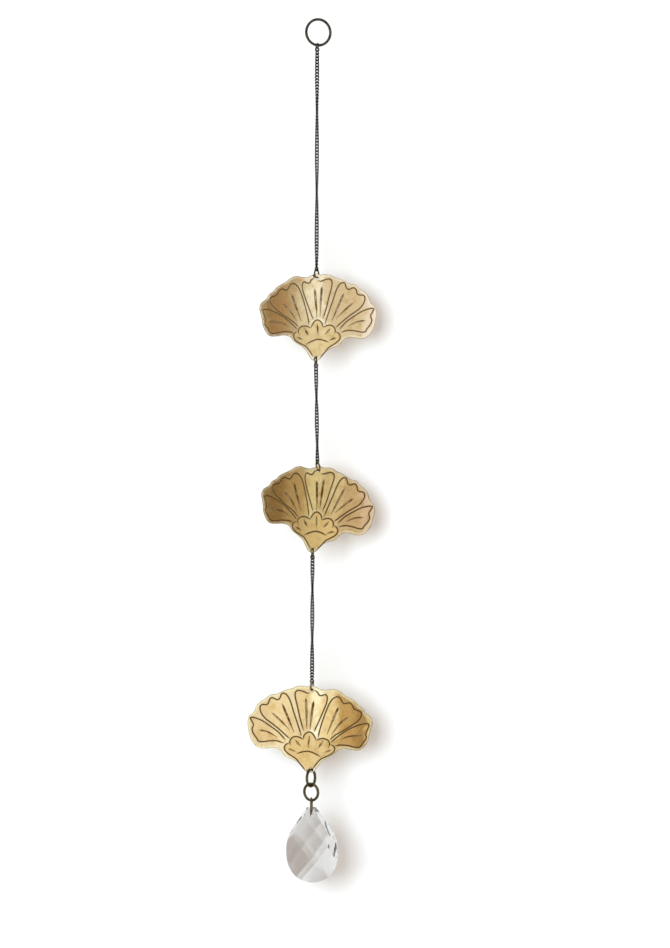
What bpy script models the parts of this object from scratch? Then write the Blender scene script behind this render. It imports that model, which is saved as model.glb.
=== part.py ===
"""Suncatcher: three bent and engraved brass flowers on fine curb chain, with a facet-cut glass drop.

Everything hangs from the round wire ring at the top. The origin is the inside top of that ring, where a hook
or a nail carries it. +Z is up and the front faces -Y. Each piece is placed from the one that it hangs on.
"""

import math

import bmesh
import bpy
from mathutils import Euler, Matrix, Vector

MM = 0.001

# Wire rings: outside diameter and wire
HANGING_RING = (14.2 * MM, 1.2 * MM)
CHAIN_RING = (3.2 * MM, 0.55 * MM)
FLOWER_RING = (5.0 * MM, 0.78 * MM)
DROP_RING = (9.6 * MM, 1.2 * MM)
WIRE_SIDES = 6
HOOK_GAP = 0.12 * MM  # between two pieces that hang one in the other

# Curb chain: every link is a frame of square wire, twisted about a quarter turn between its two bars
LINK_WIRE = 0.52 * MM
LINK_WIDTH = 2.10 * MM
# Each run's number of links and its length between the rings that it joins
UPPER_RUN = (71, 111.3 * MM)
MIDDLE_RUN = (32, 49.6 * MM)
LOWER_RUN = (41, 63.4 * MM)

# Flowers: sheet brass
SHEET = 0.6 * MM
HOLE_SIDES = 10
# Each flower's upper and lower hole: across and up, as in the outline below, its diameter, and the room that a
# ring in it keeps at its rim, all in millimetres. A ring that crosses at a slant needs more of both.
UPPER_HOLES = ((0.6, 19.35, 2.7, 0.50), (0.4, -19.5, 1.8, 0.20))
MIDDLE_HOLES = ((0.1, 19.1, 1.9, 0.25), (0.5, -19.4, 1.9, 0.25))
LOWER_HOLES = ((0.5, 19.3, 1.8, 0.20), (-0.4, -19.8, 2.6, 0.40))
BEND_STEP = 5.8 * MM  # width of the flat strips that follow the bend

# Glass drop. Corners are in millimetres across and up from the middle of its widest part, for its right half.
DROP_EDGE = ((2.7, 21.8), (10.35, 10.5), (12.5, 5.0), (13.1, -1.0), (12.5, -6.5), (8.3, -12.6), (2.5, -16.0))
DROP_KITE = ((1.1, 21.8), (8.5, 7.5), (6.3, 1.1), (0.0, -4.75))
DROP_TOP_DEPTH = 1.7  # half the thickness at the flat top, in millimetres
KITE_SLOPE = 0.18  # how fast the front kite leans out as it goes down
DROP_HOLE_DIAMETER = 1.8 * MM
DROP_HOLE_HEIGHT = 17.8 * MM
DROP_YAW = math.radians(-9)
DROP_LEAN = math.radians(-1)

# Stirrup of the drop
BAIL_WIRE = 0.9 * MM
BAIL_HALF_WIDTH = 3.3 * MM
BAIL_HEIGHT = 8.1 * MM  # between the wire's centre lines
BAIL_CORNER = 0.8 * MM

# The outline of a flower, in millimetres across and up from the middle of its stem line, clockwise as seen
# from the front. Each row of points is one stretch of the wavy edge.
OUTLINE = (
    # over the centre petal, from the upper hole to the right
    (0.5, 21.9), (2.6, 21.3), (5.0, 21.6), (8.0, 21.4), (10.5, 20.2), (13.5, 19.4),
    # round the right petal
    (16.0, 18.2), (18.6, 17.0), (21.0, 16.8), (23.6, 14.7), (26.2, 13.0), (28.2, 10.6), (29.3, 7.7),
    # round the right lobe
    (31.6, 5.7), (32.3, 2.6), (31.8, -1.0), (31.1, -4.0), (29.7, -7.0), (27.2, -9.6), (24.0, -10.4),
    (20.5, -9.9), (17.2, -10.0), (14.8, -11.4),
    # down the right side of the calyx to the lower hole
    (12.6, -14.0), (9.4, -15.2), (6.4, -16.8), (4.4, -18.9), (2.6, -20.9), (0.4, -21.8),
    # up its left side
    (-1.8, -21.2), (-3.6, -18.8), (-5.6, -16.0), (-8.6, -14.0), (-11.4, -12.4), (-13.4, -10.4),
    # round the left lobe
    (-15.0, -9.6), (-18.0, -9.4), (-21.6, -10.0), (-25.0, -10.0), (-27.2, -8.4), (-29.2, -5.0),
    (-29.8, -2.0), (-30.6, 1.0), (-31.3, 3.6), (-30.3, 6.5),
    # round the left petal
    (-27.4, 8.5), (-25.9, 10.8), (-23.4, 12.5), (-21.4, 14.6), (-18.4, 16.3), (-15.5, 17.9), (-13.3, 19.5),
    # over the centre petal, back to the upper hole
    (-10.4, 20.4), (-7.6, 20.0), (-4.8, 19.9), (-2.2, 20.9),
)


def clear_scene():
    for old in list(bpy.data.objects):
        bpy.data.objects.remove(old, do_unlink=True)


def finish(name, colour, roughness, metallic=1.0, transmission=0.0):
    material = bpy.data.materials.new(name)
    material.use_nodes = True
    shader = material.node_tree.nodes["Principled BSDF"]
    shader.inputs["Base Color"].default_value = (*colour, 1.0)
    shader.inputs["Roughness"].default_value = roughness
    shader.inputs["Metallic"].default_value = metallic
    shader.inputs["Transmission Weight"].default_value = transmission
    return material


def named_object(name, bm, material):
    """Makes one object of a finished bmesh."""
    bmesh.ops.recalc_face_normals(bm, faces=bm.faces)
    mesh = bpy.data.meshes.new(name)
    bm.to_mesh(mesh)
    bm.free()
    mesh.materials.append(material)
    made = bpy.data.objects.new(name, mesh)
    bpy.context.collection.objects.link(made)
    return made


def hook(inside_bottom, across=0.0):
    """Where the inside top of the next piece comes when it hangs in a ring or a link."""
    return inside_bottom + Vector((across, 0, HOOK_GAP))


def wire_ring(name, size, inside_top, yaw, lean, segments, material):
    """A round ring with the inside of its top at a point. Returns the inside of its bottom."""
    outside, wire = size
    turn = Euler((math.pi / 2, lean, yaw), "XZY")
    level, upright = turn.to_matrix().col[0], turn.to_matrix().col[1]
    rise = (level * level.z + upright * upright.z).normalized() * (outside / 2 - wire)
    bpy.ops.mesh.primitive_torus_add(
        major_segments=segments,
        minor_segments=WIRE_SIDES,
        major_radius=(outside - wire) / 2,
        minor_radius=wire / 2,
        location=inside_top - rise,
    )
    ring = bpy.context.object
    ring.name = name
    ring.rotation_mode = "XZY"
    ring.rotation_euler = turn
    ring.data.materials.append(material)
    ring.data.shade_smooth()
    return inside_top - 2 * rise


def add_bar(bm, inside, yaw, end, contact):
    """The top bar (end 1) or bottom bar (end -1) of a link, with the middle of its inner face at a point.

    contact is None or the four corners of the square where the next link touches it, keyed by side and depth.
    Returns the bar's two end sections, of four corners each.
    """
    half_wire = LINK_WIRE / 2
    turn = Matrix.Rotation(yaw, 3, "Z")
    sections = {}
    for side in (-1, 1):
        corners = []
        for out, deep in ((1, -1), (1, 1), (-1, 1), (-1, -1)):
            across = side * (LINK_WIDTH / 2 - half_wire + out * half_wire)
            corner = Vector((across, deep * half_wire, end * (1 + out) * half_wire))
            corners.append(bm.verts.new(inside + turn @ corner))
        sections[side] = corners
    left, right = sections[-1], sections[1]
    bm.faces.new((left[0], left[1], right[1], right[0]))
    if not contact:
        for i, j in ((1, 2), (2, 3), (3, 0)):
            bm.faces.new((left[i], left[j], right[j], right[i]))
        return sections
    bm.faces.new((left[1], left[2], contact[-1, 1], contact[1, 1], right[2], right[1]))
    bm.faces.new((left[0], left[3], contact[-1, -1], contact[1, -1], right[3], right[0]))
    for side in (-1, 1):
        corners = sections[side]
        bm.faces.new((corners[2], corners[3], contact[side, -1], contact[side, 1]))
    return sections


def add_contact(bm, inside, yaw):
    """The square where two crossing bars touch, as corners keyed by side and depth of a bar at this yaw."""
    turn = Matrix.Rotation(yaw, 3, "Z")
    return {
        (side, deep): bm.verts.new(inside + turn @ Vector((side, deep, 0)) * (LINK_WIRE / 2))
        for side in (-1, 1)
        for deep in (-1, 1)
    }


def nearest_half_turn(angle, wanted):
    """The angle that differs from this one by whole half turns and is nearest to another."""
    return angle + math.pi * round((wanted - angle) / math.pi)


def chain(name, start, sideways, size, phase, ring_above, ring_below, material):
    """A run of links that hangs from the inside bottom of a ring. Returns where the next ring hangs.

    sideways is how far its lower end is off the plumb line. phase is the first link's direction, and how much
    each link is turned from the one above. The outermost bars cross the rings above and below squarely.
    """
    facing, turn = phase
    links, length = size
    top = hook(start)
    run = Vector((*sideways, -length))
    quarter = math.pi / 2
    bm = bmesh.new()
    contact = None
    top_yaw = nearest_half_turn(ring_above + quarter, facing)
    for i in range(links):
        upper = add_bar(bm, top + run * (i / links), top_yaw, 1, contact)
        below = top + run * ((i + 1) / links)
        if i < links - 1:
            bottom_yaw = facing - math.pi / 4 + i * turn
            square = add_contact(bm, below, bottom_yaw)
            contact = {(side, deep): square[-deep, side] for side, deep in square}
        else:
            bottom_yaw = nearest_half_turn(ring_below + quarter, top_yaw - math.pi / 4)
            square = None
        lower = add_bar(bm, below, bottom_yaw, -1, square)
        for side in (-1, 1):
            for j in range(4):
                k = (j + 1) % 4
                bm.faces.new((upper[side][j], upper[side][k], lower[side][k], lower[side][j]))
        top_yaw = bottom_yaw + quarter
    named_object(name, bm, material)
    return hook(top + run)


def bent(point, radius):
    """Rolls a point of the flat sheet (across, through, up) round an upright axis in front of it."""
    across, through, up = point
    angle = across / radius
    return Vector(((radius + through) * math.sin(angle), (radius + through) * math.cos(angle) - radius, up))


def flower_sheet(bend_radius, holes):
    """The outline with its two holes, cut into strips across the bend, thickened and bent."""
    bm = bmesh.new()
    loops = [[(across * MM, up * MM) for across, up in OUTLINE]]
    for across, up, diameter, slack in holes:
        angles = [math.tau * i / HOLE_SIDES for i in range(HOLE_SIDES)]
        loops.append([
            ((across + diameter / 2 * math.cos(angle)) * MM, (up + diameter / 2 * math.sin(angle)) * MM)
            for angle in angles
        ])
    for loop in loops:
        verts = [bm.verts.new((across, -SHEET / 2, up)) for across, up in loop]
        for a, b in zip(verts, verts[1:] + verts[:1]):
            bm.edges.new((a, b))
    bmesh.ops.triangle_fill(bm, use_beauty=True, edges=bm.edges[:])
    bmesh.ops.dissolve_limit(bm, angle_limit=0.01, verts=bm.verts[:], edges=bm.edges[:])
    half_width = max(abs(across) for across, up in loops[0])
    strips = int(half_width / BEND_STEP)
    for i in range(-strips, strips + 1):
        everything = bm.verts[:] + bm.edges[:] + bm.faces[:]
        bmesh.ops.bisect_plane(bm, geom=everything, plane_co=(i * BEND_STEP, 0, 0), plane_no=(1, 0, 0))
    raised = bmesh.ops.extrude_face_region(bm, geom=bm.faces[:])["geom"]
    back = [part for part in raised if isinstance(part, bmesh.types.BMVert)]
    bmesh.ops.translate(bm, vec=(0, SHEET, 0), verts=back)
    for vert in bm.verts:
        vert.co = bent(vert.co, bend_radius)
    return bm


def flower(name, hanging_point, holes, bend_radius, yaw, pitch, roll, material):
    """A flower that hangs by its upper hole. Returns where a ring hangs in its lower hole."""
    turn = Euler((-pitch, roll, yaw), "ZXY").to_matrix()
    rims = []
    for (across, up, diameter, slack), end in zip(holes, (1, -1)):
        rim = turn @ bent((across * MM, 0, (up + end * diameter / 2) * MM), bend_radius)
        rims.append(rim - Vector((0, 0, end * slack * MM)))
    place = hanging_point - rims[0]
    made = named_object(name, flower_sheet(bend_radius, holes), material)
    made.location = place
    made.rotation_mode = "ZXY"
    made.rotation_euler = (-pitch, roll, yaw)
    return place + rims[1]


def glass_drop(name, bar, material):
    """The cut drop, hung from the bar of its stirrup. Its facets lie between its corners."""
    top = DROP_EDGE[0][1]
    points = [(across, 0.0, up) for across, up in DROP_EDGE]
    points += [(across, DROP_TOP_DEPTH + (top - up) * KITE_SLOPE, up) for across, up in DROP_KITE]
    bm = bmesh.new()
    for across, deep, up in points:
        for x_side in (-1, 1):
            for y_side in (-1, 1):
                bm.verts.new((x_side * across * MM, y_side * deep * MM, up * MM))
    bmesh.ops.remove_doubles(bm, verts=bm.verts[:], dist=1e-6)
    hull = bmesh.ops.convex_hull(bm, input=bm.verts[:])
    unused = hull["geom_interior"] + hull["geom_unused"]
    unused = [part for part in unused if isinstance(part, bmesh.types.BMVert)]
    bmesh.ops.delete(bm, geom=unused, context="VERTS")
    bmesh.ops.dissolve_limit(bm, angle_limit=math.radians(1.5), verts=bm.verts[:], edges=bm.edges[:])
    drop = named_object(name, bm, material)
    bpy.ops.mesh.primitive_cylinder_add(
        vertices=12,
        radius=DROP_HOLE_DIAMETER / 2,
        depth=20 * MM,
        location=(0, 0, DROP_HOLE_HEIGHT),
        rotation=(math.pi / 2, 0, 0),
    )
    drill = bpy.context.object
    drill.name = name + "_drill"
    drill.hide_render = True
    drill.display_type = "WIRE"
    drill.parent = drop
    bored = drop.modifiers.new("hole", "BOOLEAN")
    bored.operation = "DIFFERENCE"
    bored.solver = "EXACT"
    bored.object = drill
    turn = Euler((0, DROP_LEAN, DROP_YAW), "ZXY")
    hole_rim = Vector((0, 0, DROP_HOLE_HEIGHT + DROP_HOLE_DIAMETER / 2))
    hole_rim.rotate(turn)
    drop.rotation_mode = "ZXY"
    drop.rotation_euler = turn
    drop.location = bar + Vector((0, 0, BAIL_WIRE / 2 + HOOK_GAP)) - hole_rim


def stirrup(name, inside_top, yaw, material):
    """A wire loop with a round top and a straight bar below. Returns the middle of the bar."""
    corner_across = BAIL_HALF_WIDTH - BAIL_CORNER
    corner_up = BAIL_HALF_WIDTH - BAIL_HEIGHT + BAIL_CORNER
    path = []
    for i in range(9):
        angle = math.pi * i / 8
        path.append((BAIL_HALF_WIDTH * math.cos(angle), BAIL_HALF_WIDTH * math.sin(angle)))
    for side in (-1, 1):
        for i in range(3):
            angle = math.pi / 4 * (i if side < 0 else 2 - i)
            across = side * (corner_across + BAIL_CORNER * math.cos(angle))
            path.append((across, corner_up - BAIL_CORNER * math.sin(angle)))
    curve = bpy.data.curves.new(name, "CURVE")
    curve.dimensions = "3D"
    curve.bevel_depth = BAIL_WIRE / 2
    curve.bevel_resolution = 1
    line = curve.splines.new("POLY")
    line.points.add(len(path) - 1)
    for point, (across, up) in zip(line.points, path):
        point.co = (across, 0, up, 1)
    line.use_cyclic_u = True
    line.use_smooth = True
    curve.materials.append(material)
    made = bpy.data.objects.new(name, curve)
    bpy.context.collection.objects.link(made)
    made.location = inside_top + Vector((0, 0, BAIL_WIRE / 2 - BAIL_HALF_WIDTH))
    made.rotation_euler = (0, 0, yaw)
    return made.location + Vector((0, 0, BAIL_HALF_WIDTH - BAIL_HEIGHT))


def build():
    clear_scene()
    deg = math.radians
    brass = finish("flower_brass", (0.70, 0.50, 0.26), 0.35)
    bronze = finish("ring_bronze", (0.10, 0.09, 0.07), 0.40)
    dark_chain = finish("chain_bronze", (0.12, 0.11, 0.10), 0.40)
    bail_brass = finish("bail_brass", (0.30, 0.24, 0.13), 0.40)
    glass = finish("drop_glass", (0.95, 0.96, 0.95), 0.02, 0.0, 1.0)

    # How far each ring is turned from facing the front, its left side forward
    chain_ring = deg(-60)
    upper_rings = (deg(62), deg(101))
    middle_rings = (deg(112), deg(101))
    lower_ring = deg(74)

    end = wire_ring("hanging_ring", HANGING_RING, Vector((0, 0, 0)), deg(22), deg(2.5), 20, bronze)
    end = wire_ring("top_chain_ring", CHAIN_RING, hook(end, -0.4 * MM), chain_ring, deg(5), 12, bronze)
    tilt = (-0.3 * MM, 0)
    phase = (deg(27), deg(-7.0))
    end = chain("upper_chain", end, tilt, UPPER_RUN, phase, chain_ring, upper_rings[0], dark_chain)

    end = wire_ring("upper_flower_top_ring", FLOWER_RING, end, upper_rings[0], 0, 12, bronze)
    end = flower("upper_flower", end, UPPER_HOLES, 175 * MM, deg(22.7), deg(0.3), deg(0.3), brass)
    end = wire_ring("upper_flower_bottom_ring", FLOWER_RING, end, upper_rings[1], 0, 12, bronze)
    tilt = (0.75 * MM, 1.1 * MM)
    phase = (deg(3), deg(-11.6))
    end = chain("middle_chain", end, tilt, MIDDLE_RUN, phase, upper_rings[1], middle_rings[0], dark_chain)

    end = wire_ring("middle_flower_top_ring", FLOWER_RING, end, middle_rings[0], deg(-14), 12, bronze)
    end = flower("middle_flower", end, MIDDLE_HOLES, 240 * MM, deg(26), deg(6), deg(4.9), brass)
    end = wire_ring("middle_flower_bottom_ring", FLOWER_RING, end, middle_rings[1], 0, 12, bronze)
    tilt = (-0.25 * MM, 0)
    phase = (deg(3), deg(-11.2))
    end = chain("lower_chain", end, tilt, LOWER_RUN, phase, middle_rings[1], lower_ring, dark_chain)

    end = wire_ring("lower_flower_top_ring", FLOWER_RING, end, lower_ring, 0, 12, bronze)
    end = flower("lower_flower", end, LOWER_HOLES, 125 * MM, deg(186.2), deg(-0.8), deg(2.0), brass)
    end = wire_ring("drop_ring_upper", DROP_RING, end, deg(61), 0, 16, bronze)
    end = wire_ring("drop_ring_lower", DROP_RING, hook(end), deg(-35), deg(-5), 16, bronze)
    bar = stirrup("drop_bail", hook(end), deg(85), bail_brass)
    glass_drop("crystal_drop", bar, glass)


build()
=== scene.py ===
import math

import bmesh
import bpy
import numpy as np
from mathutils import Euler, Matrix, Vector
from mathutils.geometry import delaunay_2d_cdt


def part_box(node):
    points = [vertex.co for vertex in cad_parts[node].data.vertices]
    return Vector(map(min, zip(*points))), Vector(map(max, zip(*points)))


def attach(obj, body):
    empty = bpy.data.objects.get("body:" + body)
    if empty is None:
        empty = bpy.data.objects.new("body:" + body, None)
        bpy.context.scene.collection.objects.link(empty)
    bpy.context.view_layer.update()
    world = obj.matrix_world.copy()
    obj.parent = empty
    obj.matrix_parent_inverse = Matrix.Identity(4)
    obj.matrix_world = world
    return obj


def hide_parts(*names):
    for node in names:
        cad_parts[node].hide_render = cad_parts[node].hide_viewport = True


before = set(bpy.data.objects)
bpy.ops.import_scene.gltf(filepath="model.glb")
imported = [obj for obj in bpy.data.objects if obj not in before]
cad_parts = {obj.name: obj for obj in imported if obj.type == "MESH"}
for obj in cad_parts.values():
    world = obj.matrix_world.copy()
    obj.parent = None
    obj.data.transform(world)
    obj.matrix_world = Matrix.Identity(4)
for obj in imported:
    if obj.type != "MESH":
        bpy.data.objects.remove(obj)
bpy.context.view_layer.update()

MM = 0.001
deg = math.radians


# ---------------------------------------------------------------------------------------------------------
# Hanging ring
# A loop of round brass wire, blackened and then waxed, which a hook or a nail carries at its inside top. It
# is wound on a rod and cut, so its two square-cut ends meet at one side.

def deselect_all():
    """Leaves no object selected, because an operator acts on everything that is."""
    if bpy.context.object and bpy.context.object.mode != "OBJECT":
        bpy.ops.object.mode_set(mode="OBJECT")
    bpy.ops.object.select_all(action="DESELECT")


def make_active(piece):
    deselect_all()
    piece.select_set(True)
    bpy.context.view_layer.objects.active = piece


def apply_place(piece):
    make_active(piece)
    bpy.ops.object.transform_apply(location=True, rotation=True, scale=True)


def middle_of(corners):
    low, high = corners
    return (Vector(low) + Vector(high)) / 2


def seat(piece, node):
    """Moves a finished mesh so that its box has the same middle as its CAD node's box."""
    points = [vert.co for vert in piece.data.vertices]
    low = Vector([min(point[i] for point in points) for i in range(3)])
    high = Vector([max(point[i] for point in points) for i in range(3)])
    piece.data.transform(Matrix.Translation(middle_of(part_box(node)) - (low + high) / 2))


def hand_over(piece, node, material):
    """Names a piece, gives it its finish, and lets it stand for its CAD node on the one body."""
    piece.name = node + "_finished"
    piece.data.name = piece.name
    piece.data.materials.clear()
    piece.data.materials.append(material)
    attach(piece, "root")
    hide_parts(node)


class Finish:
    """A material's node tree, with short calls for the few nodes that the finishes here are mixed from."""

    def __init__(self, name):
        self.material = bpy.data.materials.new(name)
        self.material.use_nodes = True
        self.tree = self.material.node_tree
        self.shader = self.tree.nodes["Principled BSDF"]
        place = self.node("ShaderNodeTexCoord")
        in_millimetres = self.node("ShaderNodeMapping")
        in_millimetres.inputs["Scale"].default_value = (1 / MM,) * 3
        self.join(place.outputs["Object"], in_millimetres.inputs["Vector"])
        self.place = in_millimetres.outputs["Vector"]

    def node(self, kind):
        return self.tree.nodes.new(kind)

    def join(self, source, target):
        self.tree.links.new(source, target)

    def stretched(self, scale, turn):
        mapping = self.node("ShaderNodeMapping")
        mapping.inputs["Scale"].default_value = scale
        mapping.inputs["Rotation"].default_value = turn
        self.join(self.place, mapping.inputs["Vector"])
        return mapping.outputs["Vector"]

    def noise(self, size, detail=3.0, shift=0.0, place=None, distortion=0.0):
        """Noise from 0 to 1 with features of about this size in millimetres."""
        noise = self.node("ShaderNodeTexNoise")
        noise.noise_dimensions = "4D"
        noise.inputs["Scale"].default_value = 1 / size
        noise.inputs["Detail"].default_value = detail
        noise.inputs["Roughness"].default_value = 0.55
        noise.inputs["Distortion"].default_value = distortion
        noise.inputs["W"].default_value = shift
        self.join(place or self.place, noise.inputs["Vector"])
        return noise.outputs["Fac"]

    def ramp(self, value, low, high, to_low=0.0, to_high=1.0, smooth=True):
        ranged = self.node("ShaderNodeMapRange")
        ranged.interpolation_type = "SMOOTHSTEP" if smooth else "LINEAR"
        self.join(value, ranged.inputs["Value"])
        ranged.inputs["From Min"].default_value = low
        ranged.inputs["From Max"].default_value = high
        ranged.inputs["To Min"].default_value = to_low
        ranged.inputs["To Max"].default_value = to_high
        return ranged.outputs["Result"]

    def combine(self, first, second, kind="ADD"):
        """Two values, each a number or a socket, put together by one kind of sum."""
        maths = self.node("ShaderNodeMath")
        maths.operation = kind
        for value, socket in ((first, maths.inputs[0]), (second, maths.inputs[1])):
            if isinstance(value, (int, float)):
                socket.default_value = value
            else:
                self.join(value, socket)
        return maths.outputs["Value"]

    def blend(self, amount, first, second, kind="MIX"):
        """A colour between two, each given as numbers or as a socket."""
        mix = self.node("ShaderNodeMix")
        mix.data_type = "RGBA"
        mix.blend_type = kind
        self.join(amount, mix.inputs["Factor"])
        colours = [socket for socket in mix.inputs if socket.type == "RGBA"]
        for colour, socket in zip((first, second), colours):
            if isinstance(colour, tuple):
                socket.default_value = (*colour, 1.0)
            else:
                self.join(colour, socket)
        return [socket for socket in mix.outputs if socket.type == "RGBA"][0]

    def attribute(self, name, output="Fac"):
        reader = self.node("ShaderNodeAttribute")
        reader.attribute_name = name
        return reader.outputs[output]

    def bump(self, height, depth):
        """Relief of this depth in millimetres."""
        bump = self.node("ShaderNodeBump")
        bump.inputs["Strength"].default_value = 1.0
        bump.inputs["Distance"].default_value = depth * MM
        self.join(height, bump.inputs["Height"])
        self.join(bump.outputs["Normal"], self.shader.inputs["Normal"])


def blackened_wire(name, dark, brown, bare, wear, edge=(0.35, 0.33, 0.28)):
    """Brass wire under a black finish that has gone brown in places and is rubbed to brass in a few."""
    finish = Finish(name)
    clouds = finish.noise(2.6, detail=4)
    specks = finish.noise(0.35, detail=3, shift=2.0)
    colour = finish.blend(finish.ramp(clouds, 0.38, 0.66), dark, brown)
    worn = finish.ramp(clouds, 0.5, 0.8, 0.0, wear)
    rubbed = finish.combine(worn, finish.ramp(specks, 0.45, 0.7), "MULTIPLY")
    colour = finish.blend(rubbed, colour, bare)
    finish.join(colour, finish.shader.inputs["Base Color"])
    finish.join(finish.ramp(specks, 0.3, 0.75, 0.22, 0.42), finish.shader.inputs["Roughness"])
    finish.shader.inputs["Metallic"].default_value = 1.0
    finish.shader.inputs["Specular Tint"].default_value = (*edge, 1.0)
    finish.bump(specks, 0.015)
    return finish.material


hanging_wire = blackened_wire(
    "hanging_ring_wire", (0.042, 0.041, 0.036), (0.09, 0.085, 0.067), (0.30, 0.28, 0.21), 0.35
)
RING_CUT = 0.12 * MM


def wire_ring(node, outside, wire, yaw, lean, cut, material):
    """An open loop of wire: a circle spun round the ring, closed at both ends. cut is where its ends meet."""
    radius = (outside - wire) / 2
    deselect_all()
    bpy.ops.mesh.primitive_circle_add(
        vertices=16,
        radius=wire / 2,
        location=(radius, 0, 0),
        rotation=(math.pi / 2, 0, 0),
        enter_editmode=True,
    )
    steps = max(48, int(radius / MM * 14))
    bpy.ops.mesh.spin(steps=steps, angle=math.tau - RING_CUT / radius, center=(0, 0, 0), axis=(0, 0, 1))
    bpy.ops.mesh.select_all(action="SELECT")
    bpy.ops.mesh.fill_holes(sides=0)
    bpy.ops.mesh.normals_make_consistent(inside=False)
    bpy.ops.object.mode_set(mode="OBJECT")
    ring = bpy.context.object
    ends = ring.modifiers.new("softened_ends", "BEVEL")
    ends.width = 0.05 * MM
    ends.segments = 2
    ends.angle_limit = deg(60)
    bpy.ops.object.modifier_apply(modifier=ends.name)
    apply_place(ring)
    ring.data.transform(Matrix.Rotation(cut, 4, "Z"))
    ring.data.transform(Euler((math.pi / 2, lean, yaw), "XZY").to_matrix().to_4x4())
    bpy.ops.object.shade_smooth_by_angle(angle=deg(45))
    ring.data.transform(Matrix.Translation(middle_of(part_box(node))))
    hand_over(ring, node, material)


wire_ring("hanging_ring", 14.3 * MM, 1.35 * MM, deg(22), deg(2.5), deg(215), hanging_wire)


# ---------------------------------------------------------------------------------------------------------
# Small wire rings
# The ring that joins the top chain to the hanging ring, and the five that join the chains to the flowers.
# Each is a little cut loop of brass wire, opened, hooked through, and pressed shut with pliers.

ring_wire = blackened_wire(
    "small_ring_wire", (0.075, 0.065, 0.042), (0.20, 0.15, 0.075), (0.78, 0.62, 0.34), 0.9
)

wire_ring("top_chain_ring", 3.2 * MM, 0.55 * MM, deg(-60), deg(5), deg(300), hanging_wire)

FLOWER_RING = (5.0 * MM, 0.85 * MM)
wire_ring("upper_flower_top_ring", *FLOWER_RING, deg(62), 0, deg(20), ring_wire)
wire_ring("upper_flower_bottom_ring", *FLOWER_RING, deg(101), 0, deg(160), ring_wire)
wire_ring("middle_flower_top_ring", *FLOWER_RING, deg(112), deg(-14), deg(150), ring_wire)
wire_ring("middle_flower_bottom_ring", *FLOWER_RING, deg(101), 0, deg(200), ring_wire)
wire_ring("lower_flower_top_ring", *FLOWER_RING, deg(74), 0, deg(15), ring_wire)


# ---------------------------------------------------------------------------------------------------------
# Chains
# Three runs of fine curb chain: oval links of round brass wire, blackened, each twisted about a quarter turn
# so that they lie close. The last link at each end is bent round to cross its ring squarely.

LINK_WIRE = 0.75 * MM
LINK_WIDTH = 2.45 * MM
chain_metal = blackened_wire(
    "chain_wire", (0.014, 0.014, 0.016), (0.04, 0.036, 0.03), (0.22, 0.20, 0.16), 0.2, edge=(0.16, 0.16, 0.17)
)


def chain_link(pitch, twist):
    """One link round the origin: a standing ring drawn out to an oval, its top twisted over its bottom."""
    half_width = (LINK_WIDTH - LINK_WIRE) / 2
    stretch = (pitch + LINK_WIRE) / 2 - half_width
    deselect_all()
    bpy.ops.mesh.primitive_torus_add(
        major_segments=12,
        minor_segments=6,
        major_radius=half_width,
        minor_radius=LINK_WIRE / 2,
        rotation=(math.pi / 2, 0, 0),
    )
    link = bpy.context.object
    apply_place(link)
    for end in (1, -1):
        for vert in link.data.vertices:
            vert.select = vert.co.z * end > 0.3 * half_width
        bpy.ops.object.mode_set(mode="EDIT")
        bpy.ops.transform.translate(value=(0, 0, end * stretch))
        bpy.ops.mesh.select_all(action="DESELECT")
        bpy.ops.object.mode_set(mode="OBJECT")
    # More than half of the twist is in the two straight sides, and the rest is even.
    for low, high, share in ((0.38, 0.62, 0.55), (0, 1, 0.45)):
        twisted = link.modifiers.new("twisted", "SIMPLE_DEFORM")
        twisted.deform_method = "TWIST"
        twisted.deform_axis = "Z"
        twisted.limits = (low, high)
        twisted.angle = twist * share
        bpy.ops.object.modifier_apply(modifier=twisted.name)
    return link


def nearest_half_turn(angle, wanted):
    """The angle that differs from this one by whole half turns and is nearest to another."""
    return angle + math.pi * round((wanted - angle) / math.pi)


def chain(node, links, length, tilt, facing, turn, ring_above, ring_below):
    """Copies links down a run. facing is the first link's direction, and turn is what each next one adds."""
    quarter = math.pi / 2
    pitch = length / links
    run = Vector((*tilt, -length))
    plain = chain_link(pitch, quarter - turn)
    joined = bmesh.new()
    top_yaw = nearest_half_turn(ring_above + quarter, facing)
    for i in range(links):
        bottom_yaw = facing - math.pi / 4 + i * turn
        if i == links - 1:
            bottom_yaw = nearest_half_turn(ring_below + quarter, top_yaw - math.pi / 4)
        at_an_end = i in (0, links - 1)
        link = chain_link(pitch, top_yaw - bottom_yaw) if at_an_end else plain
        copy = link.data.copy()
        copy.transform(Matrix.Rotation((top_yaw + bottom_yaw) / 2, 4, "Z"))
        copy.transform(Matrix.Translation(run * ((i + 0.5) / links)))
        joined.from_mesh(copy)
        bpy.data.meshes.remove(copy)
        if at_an_end:
            bpy.data.objects.remove(link)
        top_yaw = bottom_yaw + quarter
    joined.to_mesh(plain.data)
    joined.free()
    plain.data.shade_smooth()
    seat(plain, node)
    hand_over(plain, node, chain_metal)


chain("upper_chain", 71, 111.3 * MM, (-0.3 * MM, 0), deg(27), deg(-7.0), deg(-60), deg(62))
chain("middle_chain", 32, 49.6 * MM, (0.75 * MM, 1.1 * MM), deg(3), deg(-11.6), deg(101), deg(112))
chain("lower_chain", 41, 63.4 * MM, (-0.25 * MM, 0), deg(3), deg(-11.2), deg(101), deg(74))


# ---------------------------------------------------------------------------------------------------------
# Flowers
# Three plates of 0.6 mm brass sheet, cut to a scalloped flower, drilled top and bottom and bent a little by
# hand. The flower is engraved on both faces with a V-shaped tool, and the lines hold dark wax and tarnish.

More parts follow.
